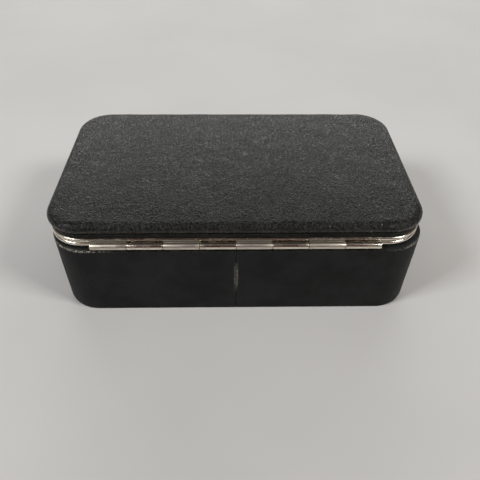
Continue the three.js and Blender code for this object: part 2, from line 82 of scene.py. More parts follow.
camera = bpy.data.objects.new("camera", bpy.data.cameras.new("camera"))
camera.data.sensor_width = 36
camera.data.lens = 37.06
camera.data.clip_start = 0.01
camera.matrix_world = (
    Matrix.Translation(AIM)
    @ Matrix.Rotation(TURNED, 4, "Z")
    @ Matrix.Rotation(math.pi / 2 - LOOK_DOWN, 4, "X")
    @ Matrix.Rotation(TILT, 4, "Z")
    @ Matrix.Translation((0, 0, DISTANCE))
)
scene.collection.objects.link(camera)
scene.camera = camera
print("camera at, mm:", [round(v / MM) for v in camera.matrix_world.translation])

# %% [markdown]
# ## Node shorthand
# Every finish is a small tree of shader nodes. A few helpers keep the trees short: one starts a material
# and adds nodes to it, where a socket's value may be a number or another node's output; one writes a
# colour; one makes a noise pattern; one turns a range of numbers into another range; one does arithmetic.

# %% Make finishes from nodes
def start_finish(name):
    """An empty material with one Principled shader, and the helper that adds nodes to it."""
    finish = bpy.data.materials.new(name)
    finish.use_nodes = True
    tree = finish.node_tree
    shader = tree.nodes["Principled BSDF"]

    def add(kind, output=0, settings=None, **sockets):
        node = tree.nodes.new("ShaderNode" + kind)
        for key, value in (settings or {}).items():
            setattr(node, key, value)
        for key, value in sockets.items():
            put(node, key.replace("_", " "), value)
        return node.outputs[output]

    def put(node, key, value):
        socket = node.inputs[int(key)] if key.isdigit() else node.inputs[key]
        if isinstance(value, bpy.types.NodeSocket):
            tree.links.new(value, socket)
        else:
            socket.default_value = value

    return finish, shader, add, lambda key, value: put(shader, key, value)


def colour(red, green, blue):
    return (red, green, blue, 1)


def noise_maker(add, place):
    """A function that gives noise at a number of lumps per metre, spread evenly from about 0.3 to 0.7."""

    def noise(lumps, detail=2.0, rough=0.5, where=None):
        return add("TexNoise", Vector=where or place, Scale=lumps, Detail=detail, Roughness=rough)

    return noise


def ranger(add):
    """A function that maps numbers between two values onto a new range, eased at both ends."""

    def to_range(value, low, high, new_low=0.0, new_high=1.0, eased=True):
        kind = "SMOOTHSTEP" if eased else "LINEAR"
        settings = {"interpolation_type": kind}
        node = add("MapRange", settings=settings, Value=value)
        for key, number in (("1", low), ("2", high), ("3", new_low), ("4", new_high)):
            node.node.inputs[int(key)].default_value = number
        return node

    return to_range


def calculator(add):
    """A function that does arithmetic on sockets and numbers."""

    def calculate(operation, first, second=0.0, clamp=False):
        node = add("Math", settings={"operation": operation, "use_clamp": clamp})
        tree = node.node.id_data
        for index, value in enumerate((first, second)):
            if isinstance(value, bpy.types.NodeSocket):
                tree.links.new(value, node.node.inputs[index])
            else:
                node.node.inputs[index].default_value = value
        return node

    return calculate


# %% [markdown]
# ## Leather
# Pebbled leather is a net of fine ridges round small hollows. A Voronoi pattern gives exactly that: its
# distance to the nearest cell edge is zero along a net, and the net is raised. Real grain is never regular,
# so the pattern is bent by slow noise and stretched along one diagonal, and a second, finer net breaks up
# the hollows. Pores and long soft wrinkles are added on top. The ridges are painted lighter than the
# hollows, a painted highlight for the light that catches the crests, and a few small light specks are
# painted glints. Where a piece carries a value for worn dye, the dye has rubbed off: the colour turns
# grey-brown and the surface dull. Along the base's top edge the same value also holds a painted highlight.

# %% Leather finish
def leather(name, grain, depth, black, ridge_highlight, roughness, shine, painted_glints=0.0):
    """Leather with cells `grain` metres wide and ridges `depth` metres tall.

    The ridges are painted lighter than the hollows as a painted highlight, and small light specks on a share
    of the cells are painted glints.
    """
    finish, shader, add, put = start_finish(name)
    place = add("TexCoord", 3)
    noise, to_range, calculate = noise_maker(add, place), ranger(add), calculator(add)
    link = finish.node_tree.links.new

    def mixed(share, first, second, kind="MIX"):
        """Two colours mixed, or multiplied, by a share that may be a number or a socket."""
        node = add("Mix", 2, settings={"data_type": "RGBA", "blend_type": kind}).node
        for index, value in ((0, share), (6, first), (7, second)):
            if isinstance(value, bpy.types.NodeSocket):
                link(value, node.inputs[index])
            else:
                node.inputs[index].default_value = value
        return node.outputs[2]

    drift = add("TexNoise", 1, Vector=place, Scale=110.0, Detail=2.0)
    bent = add("VectorMath", settings={"operation": "MULTIPLY_ADD"})
    link(drift, bent.node.inputs[0])
    bent.node.inputs[1].default_value = (3.0 * grain,) * 3
    link(place, bent.node.inputs[2])
    leaning = add(
        "Mapping",
        settings={"vector_type": "TEXTURE"},
        Vector=bent,
        Rotation=(0, 0, math.radians(-42)),
        Scale=(1.5, 1.0, 1.0),
    )

    def ridges(width, sharpness):
        settings = {"feature": "DISTANCE_TO_EDGE"}
        edge = add("TexVoronoi", settings=settings, Vector=leaning, Scale=1 / width)
        return to_range(edge, 0.02, sharpness, 1.0, 0.0)

    coarse, fine = ridges(grain, 0.2), ridges(grain * 0.55, 0.25)
    wrinkles = to_range(noise(170.0, 3.0, 0.6), 0.3, 0.7)
    pores = noise(4 / grain, 2.0)
    height = calculate("ADD", coarse, calculate("MULTIPLY", fine, 0.4))
    height = calculate("ADD", height, calculate("MULTIPLY", wrinkles, 1.2))
    height = calculate("ADD", height, calculate("MULTIPLY", pores, 0.5))
    bump = add("Bump", Height=height, Strength=1.0, Distance=depth)

    wear_and_highlight_mask = add("Attribute", 2, settings={"attribute_name": "wear_and_highlight"})
    patchy = to_range(noise(1100.0, 4.0, 0.7), 0.45, 0.58)
    wear_and_highlight_mask = calculate("MULTIPLY", wear_and_highlight_mask, patchy, clamp=True)
    # Painted highlight: the ridges' colour is lightened to a multiple of the black, in place of light on the
    # crests.
    highlight_breakup = to_range(pores, 0.35, 0.65)
    tone = mixed(calculate("MULTIPLY", coarse, highlight_breakup), colour(*black), colour(*(black[1] * ridge_highlight,) * 3))
    tone = mixed(1.0, tone, to_range(noise(60.0, 3.0), 0.3, 0.7, 0.8, 1.2), "MULTIPLY")
    # Worn dye turns grey-brown here; along the base's top edge this lighter colour is also a painted
    # highlight.
    tone = mixed(wear_and_highlight_mask, tone, colour(0.55, 0.53, 0.46))
    # Painted glints: small light grey specks on a share of the cells, in place of glints of light.
    if painted_glints:
        near_glint = add("TexVoronoi", Vector=place, Scale=75.0)
        chance = add("TexVoronoi", 1, Vector=place, Scale=75.0)
        chosen = to_range(chance, 1 - painted_glints, 1 - painted_glints + 0.01)
        glint = calculate("MULTIPLY", to_range(near_glint, 0.016, 0.03, 1.0, 0.0), chosen, clamp=True)
        tone = mixed(glint, tone, colour(0.5, 0.5, 0.47))
    put("Base Color", tone)
    smooth = to_range(coarse, 0.0, 1.0, roughness + 0.12, roughness)
    put("Roughness", calculate("ADD", smooth, calculate("MULTIPLY", wear_and_highlight_mask, 0.2)))
    put("Specular IOR Level", shine)
    put("Normal", bump)
    return finish


lid_leather = leather(
    "lid_leather", 1.5 * MM, 0.11 * MM, (0.0076, 0.0081, 0.0077), 6.0, 0.24, 0.17, painted_glints=0.05
)
base_leather = leather(
    "base_leather", 0.9 * MM, 0.05 * MM, (0.014, 0.0172, 0.0166), 1.6, 0.45, 0.07
)
print("leathers:", lid_leather.name, base_leather.name)

# %% [markdown]
# ## Nickel, steel, velvet and board
# Polished nickel is a slightly warm mirror whose roughness varies where fingers have touched it. The lid's
# knuckles are brushed instead: fine grain along the hinge, and a dull pitted plate above the roll. Velvet
# is a short pile, so it needs sheen, which lightens it at glancing angles, and slow patches where the pile
# lies over.

# %% Metal finishes
def metal(name, tint, low, high, grain, scratch, pitted_above=None):
    """Metal whose roughness lies between low and high. Grain stretches its scratches along x."""
    finish, shader, add, put = start_finish(name)
    place = add("TexCoord", 3)
    noise, to_range, calculate = noise_maker(add, place), ranger(add), calculator(add)
    tree = finish.node_tree
    brushed = add("Mapping", Vector=place, Scale=(1 / grain, 1.0, 1.0))
    lines = noise(4500.0, 3.0, 0.6, where=brushed)
    smudge = to_range(noise(180.0, 3.0), 0.35, 0.65)
    rough = to_range(smudge, 0.0, 1.0, low, high)
    rough = calculate("ADD", rough, calculate("MULTIPLY", lines, (high - low) * 0.5), clamp=True)
    bump = add("Bump", Height=lines, Strength=0.6, Distance=scratch)
    stain = add("Mix", 2, settings={"data_type": "RGBA"})
    tree.links.new(smudge, stain.node.inputs[0])
    stain.node.inputs[6].default_value = colour(*tint)
    stain.node.inputs[7].default_value = colour(tint[0] * 0.9, tint[1] * 0.87, tint[2] * 0.82)
    tone = stain
    if pitted_above:
        height = add("SeparateXYZ", 2, Vector=place)
        plate = to_range(height, pitted_above, pitted_above + 0.3 * MM)
        pits = noise(2600.0, 3.0, 0.7)
        rough = calculate("MAXIMUM", rough, calculate("MULTIPLY", plate, 0.55))
        dull = add("Mix", 2, settings={"data_type": "RGBA"})
        dullness = calculate("MULTIPLY", plate, to_range(pits, 0.3, 0.7, 1.0, 0.5))
        tree.links.new(dullness, dull.node.inputs[0])
        tree.links.new(tone, dull.node.inputs[6])
        dull.node.inputs[7].default_value = colour(0.16, 0.15, 0.135)
        tone = dull
        pitted = calculate("MULTIPLY", pits, plate)
        bump = add("Bump", Height=pitted, Strength=1.0, Distance=0.1 * MM, Normal=bump)
    put("Base Color", tone)
    put("Metallic", 1.0)
    put("Roughness", rough)
    put("Normal", bump)
    return finish


hinge_low, hinge_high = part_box("hinge_pin")
roll_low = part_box("lid_knuckle_1")[0]
hinge_z = (hinge_low.z + hinge_high.z) / 2
hinge_y = (hinge_low.y + hinge_high.y) / 2
roll_radius = hinge_z - roll_low.z
nickel = metal("nickel", (0.82, 0.78, 0.70), 0.16, 0.26, 4, 0.002 * MM)
brushed_nickel = metal(
    "brushed_nickel", (0.72, 0.68, 0.61), 0.34, 0.46, 14, 0.012 * MM, hinge_z + roll_radius * 0.85
)
spring_steel = metal("spring_steel", (0.46, 0.47, 0.5), 0.28, 0.4, 6, 0.004 * MM)
print("hinge axis, mm:", round(hinge_y / MM, 2), round(hinge_z / MM, 2))


# %% Velvet, board and wadding finishes
def velvet(name, tint, pile):
    """A short pile: sheen over a dark ground, brushed into slow patches, with a fine fibre bump."""
    finish, shader, add, put = start_finish(name)
    place = add("TexCoord", 3)
    noise, to_range = noise_maker(add, place), ranger(add)
    tree = finish.node_tree
    fibres = noise(3800.0, 3.0, 0.7)
    lie = to_range(noise(45.0, 3.0, 0.6), 0.35, 0.65)
    shade = add("Mix", 2, settings={"data_type": "RGBA"})
    tree.links.new(lie, shade.node.inputs[0])
    shade.node.inputs[6].default_value = colour(*(value * 0.62 for value in tint))
    shade.node.inputs[7].default_value = colour(*tint)
    speckled = add("Mix", 2, settings={"data_type": "RGBA", "blend_type": "MULTIPLY"})
    speckled.node.inputs[0].default_value = 1.0
    tree.links.new(shade, speckled.node.inputs[6])
    tree.links.new(to_range(fibres, 0.3, 0.7, 0.55, 1.35), speckled.node.inputs[7])
    put("Base Color", speckled)
    put("Roughness", 0.95)
    put("Specular IOR Level", 0.15)
    put("Sheen Weight", 0.55)
    put("Sheen Roughness", 0.35)
    put("Sheen Tint", colour(0.95, 0.45, 0.48))
    put("Normal", add("Bump", Height=fibres, Strength=0.8, Distance=pile))
    return finish


def plain(name, tint, lumps, depth, roughness, streak=1.0):
    """Board or wadding: a dull surface with a speckled colour and a shallow bump."""
    finish, shader, add, put = start_finish(name)
    place = add("TexCoord", 3)
    noise, to_range = noise_maker(add, place), ranger(add)
    tree = finish.node_tree
    drawn = add("Mapping", Vector=place, Scale=(1 / streak, 1.0, 1.0))
    fibres = noise(lumps, 5.0, 0.65, where=drawn)
    mottled = add("Mix", 2, settings={"data_type": "RGBA"})
    tree.links.new(to_range(fibres, 0.3, 0.7), mottled.node.inputs[0])
    mottled.node.inputs[6].default_value = colour(*(value * 0.7 for value in tint))
    mottled.node.inputs[7].default_value = colour(*tint)
    put("Base Color", mottled)
    put("Roughness", roughness)
    put("Normal", add("Bump", Height=fibres, Strength=0.7, Distance=depth))
    return finish


lining_velvet = velvet("lining_velvet", (0.19, 0.012, 0.028), 0.25 * MM)
flock = velvet("flock", (0.16, 0.010, 0.024), 0.18 * MM)
fibreboard = plain("fibreboard", (0.30, 0.21, 0.13), 900.0, 0.1 * MM, 0.9, streak=4)
wadding = plain("wadding", (0.72, 0.66, 0.48), 500.0, 0.3 * MM, 0.95)
print("soft finishes:", lining_velvet.name, flock.name, fibreboard.name, wadding.name)

# %% [markdown]
# ## Outlines
# An outline is a rectangle with round corners. Walking round it gives, at each step, a foot on the smaller
# rectangle that joins the centres of the corners, and the direction that points outwards from it. Any inset
# of the outline is then foot plus direction times what is left of the corner's radius, which keeps all the
# insets parallel. The rims' outline and the skin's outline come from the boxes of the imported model.

# %% Walk round an outline
CORNER = 19.8 * MM


def walk(middle, half, corner, count, slit=0.0, shift=0.0):
    """Steps evenly spaced by length, anticlockwise from the middle of the back, as feet and directions.

    Both are straight-line interpolations: along a straight the foot moves and the direction's angle stays,
    and round a corner the foot stays and the angle turns by a quarter. A path with a slit starts and ends half
    its width from where it would close, and shift moves that place to the right along the back.
    """
    x, y = half[0] - corner, half[1] - corner
    bend = corner * math.pi / 2
    lengths = np.cumsum([0, x, bend, 2 * y, bend, 2 * x, bend, 2 * y, bend, x])
    along = np.linspace(slit / 2, lengths[-1] - slit / 2, count, endpoint=slit > 0)
    along = (along + shift) % lengths[-1]
    angle = np.radians(np.interp(along, lengths, [-90, -90, 0, 0, 90, 90, 180, 180, 270, 270]))
    foot_x = np.interp(along, lengths, [0, x, x, x, x, -x, -x, -x, -x, 0]) + middle[0]
    foot_y = np.interp(along, lengths, [-y, -y, -y, y, y, y, y, -y, -y, -y]) + middle[1]
    directions = np.stack([np.cos(angle), np.sin(angle)], 1)
    return np.stack([foot_x, foot_y], 1), directions


def outline_of(node, inset):
    """Middle and half size of the outline that a node follows at a known inset, in metres."""
    low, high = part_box(node)
    return (low + high).xy / 2, (high - low).xy / 2 + Vector((inset, inset))


RIM_LIP = 1.1 * MM
rims = outline_of("lid_rim", RIM_LIP)
skin = outline_of("base_side_cover", 0)
front_y = rims[0].y + rims[1].y
print("rims' middle and half size, mm:", [[round(v / MM, 2) for v in part] for part in rims])


def carry(path, corner, insets, heights):
    """A profile of insets and heights carried along a path: a grid of points, one row for each step.

    Insets and heights are one row of numbers, or a row for each step where the profile changes on its way.
    """
    feet, directions = path
    insets, heights = np.atleast_2d(insets), np.atleast_2d(heights)
    reach = (corner - insets)[:, :, None]
    flat = feet[:, None, :] + reach * directions[:, None, :]
    rise = np.broadcast_to(heights, flat.shape[:2])[:, :, None]
    return np.concatenate([flat, rise], 2)


# %% [markdown]
# ## From a grid to a piece
# A grid of points becomes a mesh of quads between neighbouring rows and columns. Points that coincide, as
# at the pole in the middle of the lid, are merged, which turns the quads there into triangles. If the
# closed surface then has a negative volume it is inside out, and its faces are turned over.

# %% Make a piece
def quads(rows, columns, wrap_rows, wrap_columns):
    """Corner numbers of the quads of a grid, closed round on itself in either direction or both."""
    row, column = np.meshgrid(
        np.arange(rows if wrap_rows else rows - 1),
        np.arange(columns if wrap_columns else columns - 1),
        indexing="ij",
    )
    next_row, next_column = (row + 1) % rows, (column + 1) % columns
    corners = [
        row * columns + column,
        next_row * columns + column,
        next_row * columns + next_column,
        row * columns + next_column,
    ]
    return np.stack([c.ravel() for c in corners], 1).tolist()


def end_caps(rows, columns):
    """Quads that close the two ends of a strip whose loop of columns goes out along one face and back."""
    half = columns // 2
    near = [[i, i + 1, columns - 2 - i, columns - 1 - i] for i in range(half - 1)]
    start = (rows - 1) * columns
    return near + [[start + v for v in face] for face in near]


def make_piece(
    name, grid, finish, body, stands_for, slot, wrap=(True, True), caps=False, sharp=40, wear_and_highlight=None
):
    """A closed, smooth-shaded mesh from a grid of points, riding on a body in place of its CAD node."""
    rows, columns = grid.shape[:2]
    faces = quads(rows, columns, *wrap) + (end_caps(rows, columns) if caps else [])
    mesh = bpy.data.meshes.new(name)
    mesh.from_pydata(grid.reshape(-1, 3).tolist(), [], faces)
    if wear_and_highlight is not None:
        wear_and_highlight_mask = np.broadcast_to(wear_and_highlight, (rows, columns)).ravel().astype(np.float32)
        mesh.attributes.new("wear_and_highlight", "FLOAT", "POINT").data.foreach_set("value", wear_and_highlight_mask)
    return finish_piece(name, mesh, finish, body, stands_for, slot, sharp)


def finish_piece(name, mesh, finish, body, stands_for, slot, sharp=40):
    """Merges coinciding points, turns faces outwards, smooths the shading, hangs the piece on its body."""
    shape = bmesh.new()
    shape.from_mesh(mesh)
    bmesh.ops.remove_doubles(shape, verts=shape.verts, dist=1e-7)
    bmesh.ops.dissolve_degenerate(shape, edges=shape.edges, dist=1e-8)
    if shape.calc_volume(signed=True) < 0:
        bmesh.ops.reverse_faces(shape, faces=shape.faces)
    open_edges = sum(1 for edge in shape.edges if len(edge.link_faces) != 2)
    shape.to_mesh(mesh)
    shape.free()
    mesh.shade_smooth()
    mesh.set_sharp_from_angle(angle=math.radians(sharp))
    mesh.materials.append(finish)
    piece = bpy.data.objects.new(name, mesh)
    scene.collection.objects.link(piece)
    if body:
        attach(piece, body)
    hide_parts(stands_for)
    print(f"{name}: {len(mesh.polygons)} faces, {open_edges} open edges")
    return piece


def waves(first, second, count, shortest, seed):
    """A smooth uneven field between about -1 and 1: the mean of a few plane waves in random directions."""
    random = np.random.default_rng(seed)
    total = np.zeros(np.broadcast(first, second).shape)
    for _ in range(count):
        heading, length = random.uniform(0, 2 * math.pi), shortest * random.uniform(1, 3)
        phase = (first * math.cos(heading) + second * math.sin(heading)) * 2 * math.pi / length
        total += np.sin(phase + random.uniform(0, 2 * math.pi))
    return total / math.sqrt(count) / 1.5


def arc(middle, radii, start, end, steps):
    """Points of an arc of an ellipse, in degrees, as insets and heights."""
    angle = np.radians(np.linspace(start, end, steps))
    return middle[0] + radii[0] * np.cos(angle), middle[1] + radii[1] * np.sin(angle)


def chain(*stretches):
    """Several stretches of a profile, each a pair of insets and heights, joined into one."""
    return tuple(np.concatenate([np.atleast_1d(s[k]) for s in stretches]) for k in (0, 1))


# %% [markdown]
# ## Lid cover
# The leather is glued over a thin pad, turned round the edge of the lid and under it. Its profile starts at
# the cut edge underneath, turns a small radius at the foot, rises, rolls over a bigger radius, and runs in
# to the middle of the lid as a low crown. Past the roll the rings shrink towards the middle, where they
# meet in a pole. The crown is a smooth product of two curves, so no ridges run to the corners. Slow waves
# keep it from looking machined, and short pleats gather the leather where it is turned under at the
# corners.

# %% Lid cover
LEATHER = 1.0 * MM
CROWN_POWER = 2.6
ROUND_STEPS = 400
lid_low, lid_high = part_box("lid_cover")
rim_path = walk(rims[0], rims[1], CORNER, ROUND_STEPS)
lid_inset = rims[1].x - (lid_high.x - lid_low.x) / 2
LID_ROLL = 5.0 * MM
UNDER_ROLL = 1.5 * MM
CROWN = 1.5 * MM
roll_top = lid_high.z - CROWN
roll_foot = lid_low.z + UNDER_ROLL
roll_inset = lid_inset + LID_ROLL
flange_inset = 2.3 * MM


def crown_height(x, y):
    """One at the middle of the lid and nought at its edge: the product of 1 - |x|^p and 1 - |y|^p."""
    across = np.abs((x - rims[0].x) / (rims[1].x - roll_inset))
    down = np.abs((y - rims[0].y) / (rims[1].y - roll_inset))
    return np.clip(1 - across**CROWN_POWER, 0, 1) * np.clip(1 - down**CROWN_POWER, 0, 1)


def crowned_rings(inset, height, rise, rings):
    """Rings that shrink from the outline at an inset to its middle, as a grid, following the crown."""
    edge = carry(rim_path, CORNER, inset, height)
    middle = np.array([rims[0].x, rims[0].y])
    shrink = (1 - np.linspace(0, 1, rings) ** 1.4)[None, :, None]
    flat = middle + (edge[:, :, :2] - middle) * shrink
    up = height + rise * crown_height(flat[:, :, 0], flat[:, :, 1])
    return np.concatenate([flat, up[:, :, None]], 2)


outer = chain(
    ([flange_inset], [lid_low.z]),
    arc((lid_inset + UNDER_ROLL, roll_foot), (UNDER_ROLL, UNDER_ROLL), 270, 180, 8),
    arc((roll_inset, roll_foot), (LID_ROLL, roll_top - roll_foot), 176, 90, 18),
)
inner = chain(
    arc((roll_inset, roll_foot), (LID_ROLL - LEATHER, roll_top - roll_foot - LEATHER), 90, 180, 8),
    ([lid_inset + LEATHER, flange_inset], [lid_low.z + LEATHER] * 2),
)
grid = np.concatenate(
    [
        crowned_rings(roll_inset, roll_top - LEATHER, CROWN, 14)[:, ::-1],
        carry(rim_path, CORNER, *inner),
        carry(rim_path, CORNER, *outer),
        crowned_rings(roll_inset, roll_top, CROWN, 46)[:, 1:],
    ],
    1,
)
outer_start = 14 + len(inner[0])
x, y, z = np.moveaxis(grid[:, outer_start:], 2, 0)
settled = np.clip((z - roll_foot) / (roll_top - roll_foot), 0, 1)
grid[:, outer_start:, 2] += settled * (0.10 * MM * waves(x, y, 7, 16 * MM, 3) - 0.10 * MM)
corner_share = np.clip(np.minimum(*np.abs(rim_path[1]).T) * 3, 0, 1)[:, None]
turned_angle = np.arctan2(*rim_path[1].T)[:, None]
under = np.clip((roll_foot - z) / UNDER_ROLL, 0, 1)
pleats = np.abs(np.sin(turned_angle * 34)) * corner_share * under
grid[:, outer_start:, 2] += 0.28 * MM * pleats
edge_band = np.exp(-(((z - roll_foot) / (0.9 * MM)) ** 2))
lid_wear = np.concatenate(
    [np.zeros((ROUND_STEPS, outer_start)), 0.25 * edge_band * (0.35 + corner_share)], 1
)
lid_cover = make_piece(
    "lid_cover_leather", grid, lid_leather, "lid", "lid_cover", "lid_leather", (True, False), wear_and_highlight=lid_wear
)

# %% [markdown]
# ## Lid pad
# Under the leather lies a sheet of wadding that gives the lid its crown. It is never seen, but it is a real
# piece: flat underneath, where it is glued to the board, and crowned like the leather above it.

# %% Lid pad
pad_low, pad_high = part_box("lid_pad")
pad_edge = pad_high.z - CROWN
PAD_ROUND = 0.4 * MM
edge_middle = (roll_inset + PAD_ROUND, (pad_low.z + pad_edge) / 2)
edge = arc(edge_middle, (PAD_ROUND, (pad_edge - pad_low.z) / 2), 240, 120, 5)
grid = np.concatenate(
    [
        crowned_rings(roll_inset, pad_low.z, 0, 8)[:, ::-1],
        carry(rim_path, CORNER, *edge),
        crowned_rings(roll_inset, pad_edge, CROWN - 0.15 * MM, 24),
    ],
    1,
)
lid_pad = make_piece("lid_pad_wadding", grid, wadding, "lid", "lid_pad", "foam", (True, False))

# %% [markdown]
# ## Welt
# A thin roll of leather closes the step between the lid's cover and the rim, with a flat strip that hangs
# from it and hides the board. The roll was wrapped by hand, so its thickness wanders a little along the
# way.

# %% Welt
welt_low, welt_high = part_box("lid_welt")
welt_outer = rims[1].x - (welt_high.x - welt_low.x) / 2
WELT_TALL = 1.5 * MM
SKIRT = 0.4 * MM
welt_middle = welt_high.z - WELT_TALL / 2
welt_inner = flange_inset
bead_inset = welt_inner - 0.35 * MM
bead = arc((bead_inset, welt_middle), (bead_inset - welt_outer, WELT_TALL / 2), 90, 270, 18)
skirt = chain(
    ([welt_inner, welt_inner], [welt_high.z, welt_low.z]),
    ([welt_inner - SKIRT], [welt_low.z]),
    ([welt_inner - SKIRT], [welt_high.z - WELT_TALL]),
)
steps = np.arange(ROUND_STEPS)[:, None] * 1.5 * MM
wander = 0.06 * MM * waves(steps, steps * 0, 9, 4 * MM, 5)
insets = np.concatenate([np.broadcast_to(skirt[0], (ROUND_STEPS, 4)), bead[0][::-1] + np.abs(wander)], 1)
heights = np.concatenate([skirt[1], bead[1][::-1]])
grid = carry(rim_path, CORNER, insets, heights)
make_piece("lid_welt_leather", grid, base_leather, "lid", "lid_welt", "black_leather", wear_and_highlight=0.05)

# %% [markdown]
# ## Sheet metal
# The rims and the knuckles are all bent from sheet. A bent sheet is easiest to draw as its middle line:
# moving half a thickness to each side along the line's normal gives its two faces, and letting that half
# thickness shrink like a circle at both ends rounds the cut edges.

# %% Give a middle line its thickness
def bent_sheet(line_x, line_y, thickness):
    """The closed loop round a sheet with this middle line: out along one face, back along the other."""
    along_x, along_y = np.gradient(line_x), np.gradient(line_y)
    length = np.hypot(along_x, along_y)
    normal_x, normal_y = -along_y / length, along_x / length
    travelled = np.concatenate([[0], np.cumsum(np.hypot(np.diff(line_x), np.diff(line_y)))])
    from_end = np.minimum(travelled, travelled[-1] - travelled)
    share = np.clip(from_end / (thickness / 2), 0, 1)
    half = thickness / 2 * np.sqrt(np.clip(1 - (1 - share) ** 2, 0.05, 1))
    out = (line_x + normal_x * half, line_y + normal_y * half)
    back = (line_x - normal_x * half, line_y - normal_y * half)
    return tuple(np.concatenate([o, b[::-1]]) for o, b in zip(out, back))


def resample(line_x, line_y, thickness, step):
    """The same middle line with evenly spaced points, and closer ones near its two cut ends."""
    travelled = np.concatenate([[0], np.cumsum(np.hypot(np.diff(line_x), np.diff(line_y)))])
    total = travelled[-1]
    ends = thickness / 2 * (1 - np.cos(np.radians([0, 30, 60])))
    middle = np.linspace(thickness / 2, total - thickness / 2, max(8, int(total / step)))
    stops = np.concatenate([ends, middle, total - ends[::-1]])
    return np.interp(stops, travelled, line_x), np.interp(stops, travelled, line_y)


# %% [markdown]
# ## Rims
# Each rim is one strip of nickel bent into a channel: a rounded lip outside, a flat flange where the two
# halves meet, and a leg inside. The lid's rim is the same section turned over. A slot in each flange lets
# the catch through. It is cut with a Boolean modifier, since a slot is much simpler as a cut than as part
# of the sweep.

# %% Rims
RIM_SHEET = 0.6 * MM
INNER_LEG = 3.2 * MM
LIP_TALL = 2.5 * MM
LIP_MIDDLE = 2.0 * MM
LEG_MIDDLE = 4.9 * MM


def rim_section():
    """Insets and rises of a rim's loop. Rises start at the flange's face and go into the rim's own half."""
    bend = 0.35 * MM
    lip_size = (LIP_MIDDLE - RIM_SHEET / 2 - RIM_LIP, LIP_TALL / 2 - RIM_SHEET / 2)
    lip = arc((LIP_MIDDLE, LIP_TALL / 2), lip_size, 90, 270, 22)
    flange = ([LIP_MIDDLE + 0.3 * MM, LEG_MIDDLE - bend], [RIM_SHEET / 2] * 2)
    turn = arc((LEG_MIDDLE - bend, RIM_SHEET / 2 + bend), (bend, bend), -90, 0, 6)
    leg = ([LEG_MIDDLE], [INNER_LEG])
    line = chain(lip, flange, turn, leg)
    return bent_sheet(*resample(*line, RIM_SHEET, 0.16 * MM), RIM_SHEET)


def cut_away(piece, low, high):
    """Cuts a box out of a piece with a Boolean modifier, and keeps the result as its mesh."""
    x, y, z = np.meshgrid(*zip(low, high), indexing="ij")
    corners = np.stack([x, y, z], -1).reshape(-1, 3).tolist()
    sides = [[0, 1, 3, 2], [4, 6, 7, 5], [0, 4, 5, 1], [2, 3, 7, 6], [0, 2, 6, 4], [1, 5, 7, 3]]
    tool_mesh = bpy.data.meshes.new("tool")
    tool_mesh.from_pydata(corners, [], sides)
    tool = bpy.data.objects.new("tool", tool_mesh)
    scene.collection.objects.link(tool)
    subtract(piece, [tool])


def subtract(piece, tools):
    """Takes closed tools out of a piece, one Boolean each, and removes the tools."""
    for tool in tools:
        cutter = piece.modifiers.new("cut", "BOOLEAN")
        cutter.operation, cutter.solver, cutter.object = "DIFFERENCE", "EXACT", tool
    ready = piece.evaluated_get(bpy.context.evaluated_depsgraph_get())
    cut = bpy.data.meshes.new_from_object(ready)
    piece.modifiers.clear()
    old, piece.data = piece.data, cut
    cut.name = piece.name
    bpy.data.meshes.remove(old)
    for tool in tools:
        bpy.data.objects.remove(tool)


catch_low, catch_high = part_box("lid_catch")
SLOT_ROOM = 0.3 * MM
for node, up in (("base_rim", -1), ("lid_rim", 1)):
    low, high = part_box(node)
    face = high.z if up < 0 else low.z
    insets, rises = rim_section()
    grid = carry(rim_path, CORNER, insets, face + up * rises)
    body = "lid" if up > 0 else "base"
    rim = make_piece(node + "_nickel", grid, nickel, body, node, "nickel")
    room = Vector((SLOT_ROOM, SLOT_ROOM, 0))
    cut_away(rim, [*(catch_low - room).xy, face - MM], [*(catch_high + room).xy, face + MM])
    print("rim face at, mm:", round(face / MM, 2))

# %% [markdown]
# ## Hinge
# Each knuckle is a short strip of sheet: a flat tab that lies on the rim, rolled at its end round the pin.
# Its middle line is a straight stretch and then most of a circle. The tab spreads a little where it meets
# the rim, so that the windows between the lid's tabs have round corners.

# %% Knuckles and pin
HINGE_SHEET = 0.7 * MM
END_ROUND = 0.15 * MM
ROLL_TURN = 318
TAB_SPREAD = 0.9 * MM


def knuckle_grid(low, high, up):
    """Rows of sections from one end of a knuckle to the other, smaller at both ends to round its edges."""
    reach = high.z - hinge_z if up > 0 else hinge_z - low.z
    middle_radius = roll_radius - HINGE_SHEET / 2
    tab = ([middle_radius] * 2, [reach, 0.02 * MM])
    roll = arc((0, 0), (middle_radius, middle_radius), 0, -ROLL_TURN, 60)
    line = resample(*chain(tab, roll), HINGE_SHEET, 0.14 * MM)
    sections, stations = [], []
    for back in np.radians([0, 30, 60, 90]):
        slim = HINGE_SHEET - 2 * END_ROUND * (1 - math.sin(back))
        sections.append(bent_sheet(*line, slim))
        stations.append(END_ROUND * (1 - math.cos(back)))
    width = high.x - low.x
    inner = np.linspace(stations[-1], width - stations[-1], 4)[1:-1]
    stations = np.concatenate([stations, inner, width - np.array(stations[::-1])])
    sections = sections + [sections[-1]] * 2 + sections[::-1]
    y = np.array([s[0] for s in sections]) + hinge_y
    rise = np.array([s[1] for s in sections])
    x = low.x + np.broadcast_to(stations[:, None], rise.shape)
    near_top = np.clip((rise - (reach - TAB_SPREAD)) / TAB_SPREAD, 0, 1)
    spread = (1 - np.sqrt(1 - near_top**2)) * TAB_SPREAD * (up > 0)
    side = np.clip((x - (low.x + high.x) / 2) / (width / 2), -1, 1)
    x = x + spread * np.sign(side) * np.abs(side) ** 4
    return np.stack([x, y, hinge_z + up * rise], 2)


